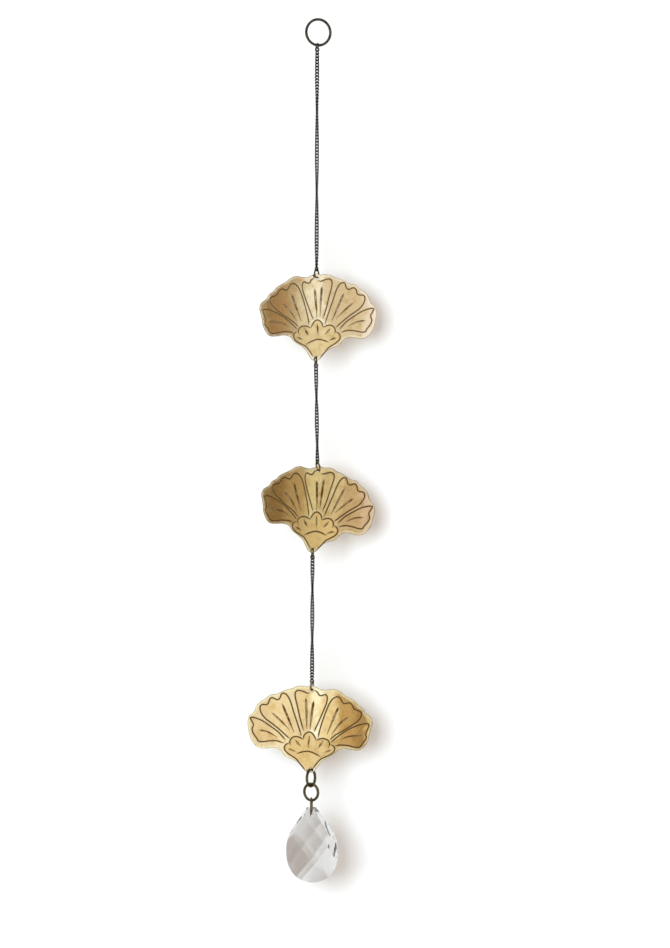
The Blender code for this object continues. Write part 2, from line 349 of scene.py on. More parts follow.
SHEET = 0.6
EDGE_ROUND = 0.2
LINE_WIDTH = 0.72
LINE_SLOPE = 0.45  # how deep a cut is for each millimetre in from its side
VEIN_DEPTH = 0.11
DEEPEST_CUT = 0.27
STEP = 0.5  # between the points of a line
BANK = 0.16  # the flat strip that borders a cut
CLEARANCE = 0.45  # of the points spread over the plain brass from its edges
RIM_TONE_WIDTH = 1.5

# All in millimetres across and up from the middle of the stem line. The outline runs clockwise.
OUTLINE = [
    (0.5, 21.9), (2.6, 21.3), (5.0, 21.6), (8.0, 21.4), (10.5, 20.2), (13.5, 19.4), (16.0, 18.2),
    (18.6, 17.0), (21.0, 16.8), (23.6, 14.7), (26.2, 13.0), (28.2, 10.6), (29.3, 7.7), (31.6, 5.7),
    (32.3, 2.6), (31.8, -1.0), (31.1, -4.0), (29.7, -7.0), (27.2, -9.6), (24.0, -10.4), (20.5, -9.9),
    (17.2, -10.0), (14.8, -11.4), (12.6, -14.0), (9.4, -15.2), (6.4, -16.8), (4.4, -18.9), (2.6, -20.9),
    (0.4, -21.8), (-1.8, -21.2), (-3.6, -18.8), (-5.6, -16.0), (-8.6, -14.0), (-11.4, -12.4),
    (-13.4, -10.4), (-15.0, -9.6), (-18.0, -9.4), (-21.6, -10.0), (-25.0, -10.0), (-27.2, -8.4),
    (-29.2, -5.0), (-29.8, -2.0), (-30.6, 1.0), (-31.3, 3.6), (-30.3, 6.5), (-27.4, 8.5), (-25.9, 10.8),
    (-23.4, 12.5), (-21.4, 14.6), (-18.4, 16.3), (-15.5, 17.9), (-13.3, 19.5), (-10.4, 20.4), (-7.6, 20.0),
    (-4.8, 19.9), (-2.2, 20.9),
]
LINES = {
    "centre_right": [
        (4.3, 0.1), (5.7, 4.2), (7.5, 11.2), (8.7, 15.6), (8.8, 18.2), (7.4, 19.3), (5.0, 18.9),
        (3.0, 18.1), (1.8, 18.2),
],
    "centre_left": [
        (-0.8, 19.6), (-2.2, 18.7), (-3.3, 17.1), (-4.8, 17.1), (-6.3, 17.6), (-7.2, 16.4), (-7.0, 13.4),
        (-5.0, 8.0), (-2.8, 2.6), (-1.3, -0.9),
],
    "right_petal": [
        (5.4, -2.4), (7.3, 3.0), (9.5, 9.0), (11.2, 13.9), (13.0, 16.8), (14.7, 17.7), (15.8, 17.1),
        (16.4, 15.2), (17.8, 14.3), (20.2, 15.2), (21.5, 14.4), (22.2, 12.2), (23.6, 11.6), (25.4, 11.5),
        (26.2, 9.9), (25.5, 7.4), (23.2, 4.6), (18.6, 1.4), (14.7, -1.7), (11.1, -4.8),
],
    "right_lobe": [
        (13.1, -5.5), (16.7, -1.8), (20.9, 1.1), (25.0, 3.6), (29.0, 4.9), (30.9, 4.8), (30.0, 3.0),
        (29.2, 1.2), (29.8, -1.0), (29.0, -3.2), (27.4, -5.2), (26.4, -6.8), (24.4, -7.0), (20.6, -6.4),
        (17.1, -6.3), (14.1, -7.2),
],
    "left_petal": [
        (-3.4, -3.7), (-4.2, 0.4), (-6.1, 6.9), (-8.4, 13.0), (-10.2, 15.6), (-12.2, 16.6), (-13.8, 16.0),
        (-14.9, 14.2), (-16.0, 13.2), (-18.4, 13.7), (-20.0, 12.8), (-21.2, 10.8), (-22.8, 10.0),
        (-24.6, 9.3), (-25.2, 7.8), (-24.0, 5.3), (-20.7, 2.7), (-16.8, 0.2), (-12.0, -2.6), (-9.4, -4.9),
],
    "left_lobe": [
        (-9.9, -6.2), (-14.3, -2.5), (-19.3, 0.7), (-24.3, 2.7), (-27.8, 3.4), (-29.4, 2.6), (-28.5, 0.2),
        (-27.8, -2.0), (-28.2, -4.0), (-26.3, -6.4), (-25.0, -8.4), (-22.1, -8.5), (-18.5, -7.7),
        (-14.5, -7.5), (-12.0, -8.0),
],
    # the calyx: three scallops, two sides and an arc
    "right_scallop": [(10.4, -8.0), (10.7, -6.0), (9.6, -4.4), (8.0, -3.8), (6.1, -4.1), (4.2, -5.0)],
    "middle_scallop": [
        (4.2, -5.0), (3.6, -2.9), (2.3, -1.7), (1.0, -1.3), (-0.4, -2.0), (-1.7, -3.8), (-2.5, -5.4),
    ],
    "left_scallop": [(-2.5, -5.4), (-4.4, -4.6), (-6.4, -4.5), (-8.4, -5.3), (-9.3, -7.0), (-8.8, -8.6)],
    "calyx_left": [
        (-10.0, -7.2), (-11.6, -8.5), (-11.9, -10.1), (-10.5, -12.0), (-7.7, -13.5), (-5.2, -14.7),
        (-3.2, -16.8), (-1.3, -19.6),
],
    "calyx_right": [
        (2.8, -20.1), (5.1, -17.5), (7.2, -15.1), (9.7, -13.5), (11.9, -12.0), (13.3, -10.1), (12.9, -8.2),
        (11.0, -7.0),
],
    "calyx_arc": [(6.9, -12.3), (4.4, -11.4), (1.4, -11.0), (-1.6, -11.9), (-4.4, -13.3)],
}
PETALS = [("centre_right", "centre_left"), ("right_petal",), ("right_lobe",), ("left_petal",), ("left_lobe",)]
CALYX = ("right_scallop", "middle_scallop", "left_scallop", "calyx_left", "calyx_right")
# Veins: single cuts of a flat tool, even for most of their length and then running out. Each has its width.
VEINS = [
    (1.15, [(3.4, 15.2), (2.9, 8.0), (2.5, 0.7)]),
    (1.25, [(-0.4, 13.8), (0.3, 7.0), (0.8, 0.7)]),
    (1.10, [(14.9, 11.8), (12.4, 6.2), (8.9, -1.5)]),
    (0.90, [(19.8, 7.4), (16.0, 4.2), (11.5, -0.1)]),
    (0.80, [(25.9, -1.2), (21.8, -2.0), (17.2, -4.4)]),
    (1.10, [(-13.0, 11.1), (-11.1, 6.4), (-7.9, -2.0)]),
    (0.90, [(-18.1, 6.3), (-14.5, 3.6), (-10.3, -2.0)]),
    (0.80, [(-25.3, -2.6), (-18.8, -3.2), (-14.4, -5.0)]),
    (0.90, [(11.0, -10.1), (7.9, -11.2)]),
    (1.10, [(7.6, -6.0), (5.5, -8.4)]),
    (0.95, [(1.1, -4.0), (1.5, -8.5)]),
    (1.10, [(-5.4, -6.6), (-3.8, -8.9)]),
    (0.85, [(-9.8, -10.2), (-7.1, -11.3)]),
]


def smooth_line(points, step, closed=False):
    """A smooth curve through points, as evenly spaced points about one step apart."""
    points = [np.array(point, float) for point in points]
    if len(points) == 2:
        points.insert(1, (points[0] + points[1]) / 2)
    last = len(points)
    dense = []
    for i in range(last if closed else last - 1):
        if closed:
            before, start, end, after = (points[(i + k) % last] for k in (-1, 0, 1, 2))
        else:
            before, start, end, after = (points[min(max(i + k, 0), last - 1)] for k in (-1, 0, 1, 2))
        for t in np.linspace(0, 1, 16, endpoint=False):
            dense.append(0.5 * (
                2 * start + (end - before) * t + (2 * before - 5 * start + 4 * end - after) * t**2
                + (3 * start - before - 3 * end + after) * t**3
            ))
    dense.append(dense[0] if closed else points[-1])
    dense = np.array(dense)
    along = np.concatenate([[0], np.cumsum(np.linalg.norm(np.diff(dense, axis=0), axis=1))])
    places = np.linspace(0, along[-1], max(3, int(round(along[-1] / step)) + 1))
    if closed:
        places = places[:-1]
    return np.stack([np.interp(places, along, dense[:, 0]), np.interp(places, along, dense[:, 1])], axis=1)


def sideways(line, closed=False):
    """Unit normals along a line, to its left."""
    if closed:
        ahead = np.roll(line, -1, axis=0) - np.roll(line, 1, axis=0)
    else:
        ahead = np.gradient(line, axis=0)
    ahead /= np.linalg.norm(ahead, axis=1, keepdims=True)
    return np.stack([-ahead[:, 1], ahead[:, 0]], axis=1)


def distance_to(points, line, closed=False):
    """From each point to the nearest place on a line, and how far along the line that is, in segments."""
    start = line if closed else line[:-1]
    end = np.roll(line, -1, axis=0) if closed else line[1:]
    nearest = np.full(len(points), 1e9)
    where = np.zeros(len(points))
    for i, (a, b) in enumerate(zip(start, end)):
        span = b - a
        t = np.clip(((points - a) @ span) / max(span @ span, 1e-12), 0, 1)
        far = np.linalg.norm(points - a - t[:, None] * span, axis=1)
        closer = far < nearest
        nearest[closer] = far[closer]
        where[closer] = i + t[closer]
    return nearest, where


def inside(points, loop):
    """Which points lie inside a closed loop."""
    found = np.zeros(len(points), bool)
    for a, b in zip(loop, np.roll(loop, -1, axis=0)):
        crosses = (a[1] > points[:, 1]) != (b[1] > points[:, 1])
        at = a[0] + (points[:, 1] - a[1]) / (b[1] - a[1] + 1e-15) * (b[0] - a[0])
        found ^= crosses & (points[:, 0] < at)
    return found


def engraved_strokes():
    """Every engraved stroke as its middle line, its half width at each point, and whether it is a vein."""
    strokes = []
    for points in LINES.values():
        line = smooth_line(points, STEP)
        from_end = np.minimum(np.arange(len(line)), np.arange(len(line))[::-1]) * STEP
        strokes.append((line, LINE_WIDTH / 2 * np.clip(0.45 + from_end / 2.5, 0, 1), False))
    for width, points in VEINS:
        line = smooth_line(points, STEP)
        t = np.linspace(0, 1, len(line))
        swell = np.clip(0.35 + t / 0.10, 0, 1) * (1 - 0.75 * np.clip((t - 0.55) / 0.45, 0, 1))
        strokes.append((line, width / 2 * swell, True))
    return strokes


def guide_lines(outline, holes, strokes):
    """The lines that the face's triangles have to follow, as points and edges, and the rims of the holes."""
    points = []
    edges = []

    def draw(line, closed=False):
        first = len(points)
        points.extend(line)
        edges.extend((i, i + 1) for i in range(first, len(points) - 1))
        if closed:
            edges.append((len(points) - 1, first))

    draw(outline, closed=True)
    for inward in (0.3, 1.0):
        draw(outline - sideways(outline, True) * EDGE_ROUND * inward, closed=True)
    rims = []
    for across, up, diameter in holes:
        turn = np.linspace(0, math.tau, 24, endpoint=False)
        circle = np.stack([np.cos(turn), np.sin(turn)], axis=1)
        rims.append(circle * diameter / 2 + (across, up))
        draw(rims[-1], closed=True)
        draw(circle * (diameter / 2 + EDGE_ROUND) + (across, up), closed=True)
    for line, half, is_vein in strokes:
        draw(line)
        for aside in (half * 0.55, half, half + BANK) if is_vein else (half, half + BANK):
            left = line + sideways(line) * aside[:, None]
            right = line - sideways(line) * aside[:, None]
            draw(np.concatenate([left, right[::-1]]), closed=True)
    return points, edges, rims


def points_between(outline, rims, strokes):
    """Points a millimetre apart over the plain brass, every other row half a step aside."""
    spread = np.array([(-33 + i + 0.5 * (j % 2), -22 + j) for j in range(44) for i in range(66)])
    keep = inside(spread, outline) & (distance_to(spread, outline, True)[0] > CLEARANCE)
    for rim in rims:
        keep &= distance_to(spread, rim, True)[0] > CLEARANCE
        keep &= ~inside(spread, rim)
    for line, half, _ in strokes:
        keep &= distance_to(spread, line)[0] > half.max() + 0.35
    return spread[keep]


def cut_depths(flat, strokes):
    """How deep the engraving is at each point, and how far each point is in a line, a vein or a stain."""
    depth = np.zeros(len(flat))
    values = {name: np.zeros(len(flat)) for name in ("line", "vein", "stain")}
    for line, half, is_vein in strokes:
        away, where = distance_to(flat, line)
        width = np.interp(where, np.arange(len(half)), half)
        cut = LINE_SLOPE * np.clip(width - away, 0, None)
        if is_vein:
            cut = np.minimum(cut, VEIN_DEPTH)
        depth = np.maximum(depth, cut)
        kind, deepest = ("vein", VEIN_DEPTH) if is_vein else ("line", LINE_SLOPE * LINE_WIDTH / 2)
        values[kind] = np.maximum(values[kind], cut / deepest)
        values["stain"] = np.maximum(values["stain"], np.clip(1 - (away - width) / 0.35, 0, 1))
    return depth, values


def engraved_face(holes):
    """The face of a flat flower: places across and up, heights, values for the finish, and triangles."""
    outline = smooth_line(OUTLINE, 0.6, closed=True)
    strokes = engraved_strokes()
    points, edges, rims = guide_lines(outline, holes, strokes)
    points.extend(points_between(outline, rims, strokes))

    made, _, triangles, *_ = delaunay_2d_cdt([Vector(point) for point in points], edges, [], 0, 1e-4, False)
    flat = np.array([tuple(point) for point in made])
    triangles = np.array(triangles)
    centres = flat[triangles].mean(axis=1)
    shown = inside(centres, outline)
    for rim in rims:
        shown &= ~inside(centres, rim)

    depth, values = cut_depths(flat, strokes)
    for kind, loops in (("petal", PETALS), ("calyx", [CALYX])):
        values[kind] = np.zeros(len(flat))
        for loop in loops:
            border = np.concatenate([smooth_line(LINES[name], STEP) for name in loop])
            values[kind][inside(flat, border)] = 1
    from_edge = distance_to(flat, outline, True)[0]
    values["rim"] = np.clip(1 - from_edge / RIM_TONE_WIDTH, 0, 1)
    for rim in rims:
        from_edge = np.minimum(from_edge, distance_to(flat, rim, True)[0])
    inward = EDGE_ROUND - np.clip(from_edge, 0, EDGE_ROUND)
    rounded = EDGE_ROUND - np.sqrt(EDGE_ROUND**2 - inward**2)
    height = SHEET / 2 - np.minimum(depth + rounded, DEEPEST_CUT)
    return flat, height, values, triangles[shown]


def flower_plate(node, holes, bend_radius, yaw, pitch, roll, material):
    """Raises the engraved face, mirrors it to make the back, bends the sheet, and hangs it in its place."""
    flat, height, values, triangles = engraved_face(holes)
    used, triangles = np.unique(triangles, return_inverse=True)
    triangles = triangles.reshape(-1, 3)
    flat, height = flat[used], height[used]
    mesh = bpy.data.meshes.new(node)
    corners = [(across, -high, up) for (across, up), high in zip(flat, height)]
    mesh.from_pydata(corners, [], triangles.tolist())
    for name, value in values.items():
        mesh.attributes.new(name, "FLOAT", "POINT").data.foreach_set("value", value[used].astype(np.float32))
    sheet = np.column_stack([flat, np.zeros(len(flat))]).astype(np.float32)
    mesh.attributes.new("sheet", "FLOAT_VECTOR", "POINT").data.foreach_set("vector", sheet.ravel())
    plate = bpy.data.objects.new(node, mesh)
    bpy.context.collection.objects.link(plate)

    # The rims are drawn back to the middle of the sheet, where the mirrored back half joins them.
    make_active(plate)
    bpy.ops.object.mode_set(mode="EDIT")
    bpy.ops.mesh.select_all(action="DESELECT")
    bpy.ops.mesh.select_non_manifold(extend=False)
    bpy.ops.mesh.extrude_edges_move()
    bpy.ops.object.mode_set(mode="OBJECT")
    for vert in mesh.vertices:
        if vert.select:
            vert.co.y = 0
    mirror = plate.modifiers.new("back_face", "MIRROR")
    mirror.use_axis = (False, True, False)
    mirror.merge_threshold = 0.001
    bpy.ops.object.modifier_apply(modifier=mirror.name)

    for vert in mesh.vertices:
        angle = vert.co.x / bend_radius
        reach = bend_radius + vert.co.y
        vert.co = Vector((reach * math.sin(angle), reach * math.cos(angle) - bend_radius, vert.co.z))
    mesh.transform(Matrix.Scale(MM, 4))
    mesh.transform(Euler((-pitch, roll, yaw), "ZXY").to_matrix().to_4x4())
    bpy.ops.object.mode_set(mode="EDIT")
    bpy.ops.mesh.select_all(action="SELECT")
    bpy.ops.mesh.normals_make_consistent(inside=False)
    bpy.ops.object.mode_set(mode="OBJECT")
    bpy.ops.object.shade_smooth_by_angle(angle=deg(24))
    seat(plate, node)
    hand_over(plate, node, material)


def aged_brass_and_sheen(name, tarnish_and_sheen, calyx, petals, margin, wax, groove, spots, shift, front=1):
    """Sheet brass with bands of patina and painted sheen, petal by petal, with fine scratches and waxed
    engraving.

    The bands are given as the tone at the left edge, then where each next tone begins and is reached, across
    the sheet as seen from its front (1) or back (-1). They are partly real patina and partly painted light:
    painted highlights in the palest bands and painted dark reflections in the darkest. margin is a lighter
    tone along the outer rim, whose cut edge is darkened with painted shade. spots are places, sizes,
    strengths and tones of single patches: stains, and painted shade where a patch stands in for shading.
    """
    finish = Finish(name)
    sheet = finish.attribute("sheet", "Vector")
    drift = finish.noise(8.0, detail=3, shift=shift, place=sheet, distortion=0.5)
    clouds = finish.noise(3.6, detail=4, shift=shift + 3.1, place=sheet, distortion=0.4)
    mottle = finish.noise(0.8, detail=4, shift=shift + 5.7, place=sheet)
    split = finish.node("ShaderNodeSeparateXYZ")
    finish.join(sheet, split.inputs["Vector"])
    across = finish.combine(split.outputs["X"], front, "MULTIPLY")
    across = finish.combine(across, finish.ramp(drift, 0.25, 0.75, -3.5, 3.5, smooth=False))
    # Bands across the sheet: partly real patina, partly painted highlights in the palest bands and painted
    # dark reflections in the darkest.
    colour = tarnish_and_sheen[0]
    for start, end, tone in tarnish_and_sheen[1:]:
        colour = finish.blend(finish.ramp(across, start, end), colour, tone)
    in_petal = finish.combine(finish.attribute("petal"), finish.ramp(clouds, 0.2, 0.8, 0.45, 1.0), "MULTIPLY")
    colour = finish.blend(in_petal, colour, petals, "MULTIPLY")
    colour = finish.blend(finish.combine(finish.attribute("calyx"), 0.85, "MULTIPLY"), colour, calyx)
    colour = finish.blend(finish.ramp(clouds, 0.50, 0.75, 0.0, 1.0), colour, (0.84, 0.77, 0.60), "MULTIPLY")
    colour = finish.blend(finish.ramp(mottle, 0.50, 0.74, 0.0, 0.7), colour, (0.86, 0.80, 0.68), "MULTIPLY")
    # Single patches: stains, and on the lower flower one patch of painted shade.
    for place, size, strength, tone in spots:
        away = finish.node("ShaderNodeVectorMath")
        away.operation = "DISTANCE"
        finish.join(sheet, away.inputs[0])
        away.inputs[1].default_value = (*place, 0)
        frayed = finish.ramp(clouds, 0.3, 0.7, -0.4 * size, 0.4 * size)
        ragged = finish.combine(away.outputs["Value"], frayed)
        colour = finish.blend(finish.ramp(ragged, 0.35 * size, size, strength, 0.0), colour, tone)
    # A lighter tone, in patches, along the outer rim.
    rim = finish.attribute("rim")
    uneven = finish.ramp(clouds, 0.3, 0.6, 0.25, 0.8)
    patchy = finish.combine(finish.ramp(rim, 0.1, 0.45), uneven, "MULTIPLY")
    colour = finish.blend(patchy, colour, margin)
    # Painted shade: the outermost strip at the cut edge is darkened to stand in for the shaded edge face of
    # the sheet.
    colour = finish.blend(finish.ramp(rim, 0.78, 0.92, 0.0, 0.85), colour, (0.20, 0.155, 0.085))
    stained = finish.ramp(finish.attribute("stain"), 0.25, 1.0, 0.0, 0.45)
    colour = finish.blend(stained, colour, groove)
    vein = finish.attribute("vein")
    in_vein = finish.ramp(vein, 0.05, 0.45)
    vein_floor = finish.blend(finish.ramp(clouds, 0.40, 0.60), groove, wax)
    colour = finish.blend(in_vein, colour, finish.blend(finish.ramp(vein, 0.55, 0.95), wax, vein_floor))
    waxed = finish.ramp(finish.attribute("line"), 0.04, 0.32)
    colour = finish.blend(waxed, colour, wax)
    filled = finish.combine(waxed, finish.combine(in_vein, 0.7, "MULTIPLY"), "MAXIMUM")
    finish.join(colour, finish.shader.inputs["Base Color"])
    finish.join(finish.ramp(filled, 0.0, 1.0, 1.0, 0.35), finish.shader.inputs["Metallic"])
    polish = finish.ramp(clouds, 0.3, 0.7, 0.20, 0.32)
    dulled = finish.combine(polish, finish.combine(filled, 0.3, "MULTIPLY"))
    finish.join(dulled, finish.shader.inputs["Roughness"])
    finish.shader.inputs["Specular IOR Level"].default_value = 0.05
    one_way = finish.stretched((1.0, 1.0, 0.06), (0, deg(62), 0))
    scratches = finish.noise(0.16, detail=2, shift=shift, place=one_way)
    the_other_way = finish.stretched((1.0, 1.0, 0.06), (0, deg(-35), 0))
    crossing = finish.noise(0.16, detail=2, shift=shift + 1, place=the_other_way)
    scratched = finish.combine(scratches, crossing, "MULTIPLY")
    finish.bump(finish.combine(scratched, finish.combine(clouds, 0.9, "MULTIPLY")), 0.025)
    return finish.material


flower_plate(
    "upper_flower", ((0.6, 19.75, 1.9), (0.4, -19.75, 1.3)), 175, deg(22.7), deg(0.3), deg(0.3),
    aged_brass_and_sheen(
        "upper_flower_brass",
        [
            (0.90, 0.66, 0.32), (-29, -24.5, (0.66, 0.41, 0.185)), (-19, -12, (0.68, 0.51, 0.27)),
            (-12.5, -7.5, (0.84, 0.72, 0.47)), (-6.5, -2, (0.98, 0.88, 0.66)), (3, 8, (0.72, 0.58, 0.36)),
            (23.5, 28, (0.86, 0.74, 0.58)),
        ],
        calyx=(0.78, 0.60, 0.29),
        petals=(0.95, 0.89, 0.78),
        margin=(0.96, 0.85, 0.64),
        wax=(0.13, 0.075, 0.022),
        groove=(0.46, 0.36, 0.23),
        spots=[((-8.5, 19.2), 2.4, 0.85, (0.72, 0.36, 0.10)), ((-12.5, 18.6), 2.0, 0.5, (0.45, 0.48, 0.34))],
        shift=0.0,
    ),
)
flower_plate(
    "middle_flower", ((0.1, 19.4, 1.3), (0.5, -19.7, 1.3)), 240, deg(26), deg(6), deg(4.9),
    aged_brass_and_sheen(
        "middle_flower_brass",
        [
            (0.72, 0.50, 0.23), (-29, -24.5, (0.57, 0.36, 0.13)), (-20, -15, (0.76, 0.53, 0.22)),
            (-9, -4, (0.98, 0.82, 0.42)), (-2, 5, (0.76, 0.60, 0.31)), (11, 16, (0.60, 0.43, 0.215)),
            (22, 28, (0.70, 0.52, 0.34)),
        ],
        calyx=(0.83, 0.59, 0.24),
        petals=(0.93, 0.86, 0.74),
        margin=(0.88, 0.74, 0.48),
        wax=(0.085, 0.042, 0.010),
        groove=(0.32, 0.22, 0.12),
        spots=[],
        shift=4.0,
    ),
)
flower_plate(
    "lower_flower", ((0.5, 19.55, 1.3), (-0.4, -20.15, 1.9)), 125, deg(186.2), deg(-0.8), deg(2.0),
    aged_brass_and_sheen(
        "lower_flower_brass",
        [
            (0.73, 0.59, 0.35), (-22, -17, (0.80, 0.68, 0.42)), (-12.5, -8, (0.74, 0.62, 0.37)),
            (-2.5, 1.5, (0.92, 0.88, 0.64)), (3, 7, (0.82, 0.69, 0.38)), (10.5, 14.5, (0.57, 0.385, 0.15)),
            (20, 23.5, (0.42, 0.265, 0.095)), (25.5, 29, (0.68, 0.50, 0.22)),
        ],
        calyx=(0.67, 0.48, 0.20),
        petals=(0.97, 0.86, 0.70),
        margin=(0.84, 0.74, 0.46),
        wax=(0.075, 0.038, 0.010),
        groove=(0.36, 0.25, 0.12),
        # Painted shade: this reddish-brown patch right of the bottom hole stands in for the shading of the
        # bottom tip; it is no stain.
        spots=[((-4.0, -18.5), 2.2, 0.7, (0.50, 0.22, 0.10))],
        shift=9.0,
        front=-1,
    ),
)


# ---------------------------------------------------------------------------------------------------------
# Drop rings
# Two bigger rings of thicker blackened wire under the lowest flower. The first passes through its lower hole,
# and the second hangs in the first and carries the glass.

DROP_RING = (9.7 * MM, 1.35 * MM)
drop_wire = blackened_wire(
    "drop_ring_wire", (0.06, 0.05, 0.026), (0.135, 0.108, 0.055), (0.46, 0.38, 0.22), 0.6
)
wire_ring("drop_ring_upper", *DROP_RING, deg(61), 0, deg(140), drop_wire)
wire_ring("drop_ring_lower", *DROP_RING, deg(-35), deg(-5), deg(35), drop_wire)


# ---------------------------------------------------------------------------------------------------------
# Stirrup of the glass drop
# A bent brass wire whose two square ends are pinched into the glass from front and back and meet in its hole.

BAIL_WIRE = 0.9 * MM
BAIL_HALF_WIDTH = 3.3 * MM
BAIL_HEIGHT = 8.1 * MM
BAIL_CORNER = 0.8 * MM
BAIL_YAW = deg(85)
bail_metal = blackened_wire("stirrup_wire", (0.13, 0.105, 0.06), (0.26, 0.20, 0.10), (0.62, 0.48, 0.26), 0.6)

half = []
for angle in np.linspace(math.pi / 2, 0, 13):
    half.append((BAIL_HALF_WIDTH * math.cos(angle), BAIL_HALF_WIDTH * math.sin(angle)))
corner = (BAIL_HALF_WIDTH - BAIL_CORNER, BAIL_HALF_WIDTH - BAIL_HEIGHT + BAIL_CORNER)
for angle in np.linspace(0, math.pi / 2, 7):
    half.append((corner[0] + BAIL_CORNER * math.cos(angle), corner[1] - BAIL_CORNER * math.sin(angle)))
half.append((0.05 * MM, BAIL_HALF_WIDTH - BAIL_HEIGHT))
path = [(-across, up) for across, up in reversed(half)] + half[1:]
wire = bpy.data.curves.new("stirrup", "CURVE")
wire.dimensions = "3D"
wire.bevel_depth = BAIL_WIRE / 2
wire.bevel_resolution = 4
wire.use_fill_caps = True
line = wire.splines.new("POLY")
line.points.add(len(path) - 1)
for point, (across, up) in zip(line.points, path):
    point.co = (across, 0, up, 1)
bail = bpy.data.objects.new("stirrup", wire)
bpy.context.collection.objects.link(bail)
make_active(bail)
bpy.ops.object.convert(target="MESH")
bail = bpy.context.object
bail.data.transform(Matrix.Rotation(BAIL_YAW, 4, "Z"))
bpy.ops.object.mode_set(mode="EDIT")
bpy.ops.mesh.select_all(action="SELECT")
bpy.ops.mesh.remove_doubles(threshold=1e-6)
bpy.ops.mesh.normals_make_consistent(inside=False)
bpy.ops.object.mode_set(mode="OBJECT")
bpy.ops.object.shade_smooth_by_angle(angle=deg(40))
seat(bail, "drop_bail")
hand_over(bail, "drop_bail", bail_metal)


# ---------------------------------------------------------------------------------------------------------
# Glass drop
# A pear-shaped pendant of clear pressed and polished glass. Its outline is ground round, then flat facets are
# ground: a few large ones on its front and a lattice of small ones on its back. It is drilled near its top.

# In millimetres, for the right half: the outline across and up from the middle of the widest part, and the
# corners of the front facets across, forward and up from there.
DROP_OUTLINE = [
    (10.35, 10.4), (12.3, 5.0), (13.05, -0.6), (12.5, -6.2), (10.5, -10.5), (7.4, -13.6), (3.8, -15.4),
    (0.0, -16.0),
]
BLANK_DEPTH = 16
GIRDLE = 0.5
KITE_TOP, KITE_SIDE, KITE_LEFT = (1.1, 1.7, 21.8), (8.8, 4.1, 8.6), (-8.8, 4.1, 8.6)
KITE_BELOW, CROSSING = (0.0, 6.4, -4.4), (5.0, 5.1, 2.4)
KITE = (KITE_SIDE, KITE_BELOW, KITE_LEFT)
SHOULDER = (KITE_TOP, (11.2, GIRDLE, 8.6), KITE_SIDE)
SIDE = (KITE_SIDE, (13.1, 2.2, -1.0), CROSSING)
LOWER = (CROSSING, (11.9, GIRDLE, -7.0), KITE_BELOW)
BOTTOM = (KITE_BELOW, (6.0, GIRDLE, -14.5), (-6.0, GIRDLE, -14.5))
# The back's lattice of facets: half a diamond's width and height, where its middle is, and the dome that it
# follows, by its depth, the height of its deepest place, and how fast it falls away across and up.
BACK_ACROSS, BACK_UP, BACK_ASIDE, BACK_MIDDLE = 5.0, 6.8, 1.2, 2.4
DOME_DEPTH, DOME_TOP, DOME_ACROSS, DOME_UP = 5.6, 3.0, 0.029, 0.0158
FACET_EDGE = 0.12 * MM
HOLE_RADIUS = 0.9 * MM
HOLE_HEIGHT = 17.8 * MM


def grind(place, outward):
    """Grinds the active piece flat at a place and takes off what lies outside."""
    bpy.ops.mesh.select_all(action="SELECT")
    flat = {"plane_co": Vector(place) * MM, "plane_no": Vector(outward)}
    bpy.ops.mesh.bisect(**flat, clear_outer=True, use_fill=True)


def through(corners):
    """The outward direction of the plane through three corners of a front facet."""
    a, b, c = (Vector(corner) for corner in corners)
    outward = (b - a).cross(c - a).normalized()
    return outward if outward.y > 0 else -outward


right = [(2.7, 21.8)] + [tuple(point) for point in smooth_line(DROP_OUTLINE, 2.2)]
outline = right + [(-across, up) for across, up in reversed(right[:-1])]
blank = bpy.data.meshes.new("drop")
face = [(across * MM, -BLANK_DEPTH / 2 * MM, up * MM) for across, up in outline]
blank.from_pydata(face, [], [range(len(outline))])
drop = bpy.data.objects.new("drop", blank)
bpy.context.collection.objects.link(drop)
make_active(drop)
bpy.ops.object.mode_set(mode="EDIT")
bpy.ops.mesh.select_all(action="SELECT")
bpy.ops.mesh.extrude_region_move(TRANSFORM_OT_translate={"value": (0, BLANK_DEPTH * MM, 0)})
bpy.ops.mesh.select_all(action="SELECT")
bpy.ops.mesh.normals_make_consistent(inside=False)
for corners in (KITE, SHOULDER, SIDE, LOWER, BOTTOM):
    place, outward = corners[0], through(corners)
    for side in (1,) if corners in (KITE, BOTTOM) else (1, -1):
        grind((side * place[0], -place[1], place[2]), (side * outward.x, -outward.y, outward.z))
        if corners == SHOULDER:
            grind((side * place[0], place[1], place[2]), (side * outward.x, outward.y, outward.z))
for row in range(-2, 3):
    for column in range(-2, 3):
        across, up = column * BACK_ACROSS + BACK_ASIDE, BACK_MIDDLE + row * BACK_UP
        if (row + column) % 2 or abs(column) == 2 and row != 0:
            continue
        deep = DOME_DEPTH - DOME_ACROSS * across**2 - DOME_UP * (up - DOME_TOP) ** 2
        grind((across, deep, up), (2 * DOME_ACROSS * across, 1, 2 * DOME_UP * (up - DOME_TOP)))
bpy.ops.mesh.select_all(action="SELECT")
bpy.ops.mesh.remove_doubles(threshold=1e-6)
bpy.ops.mesh.dissolve_limited(angle_limit=deg(0.5))
bpy.ops.mesh.select_all(action="SELECT")
bpy.ops.mesh.bevel(offset=FACET_EDGE, segments=1, affect="EDGES", clamp_overlap=True)
bpy.ops.mesh.normals_make_consistent(inside=False)
bpy.ops.object.mode_set(mode="OBJECT")
bpy.ops.mesh.primitive_cylinder_add(
    vertices=24,
    radius=HOLE_RADIUS,
    depth=20 * MM,
    location=(0, 0, HOLE_HEIGHT),
    rotation=(math.pi / 2, 0, 0),
)
drill = bpy.context.object
hole = drop.modifiers.new("hole", "BOOLEAN")
hole.operation = "DIFFERENCE"
hole.solver = "EXACT"
hole.object = drill
make_active(drop)
bpy.ops.object.modifier_apply(modifier=hole.name)
bpy.data.objects.remove(drill)
drop.data.shade_flat()
drop.data.transform(Euler((0, deg(-1), deg(-9)), "ZXY").to_matrix().to_4x4())
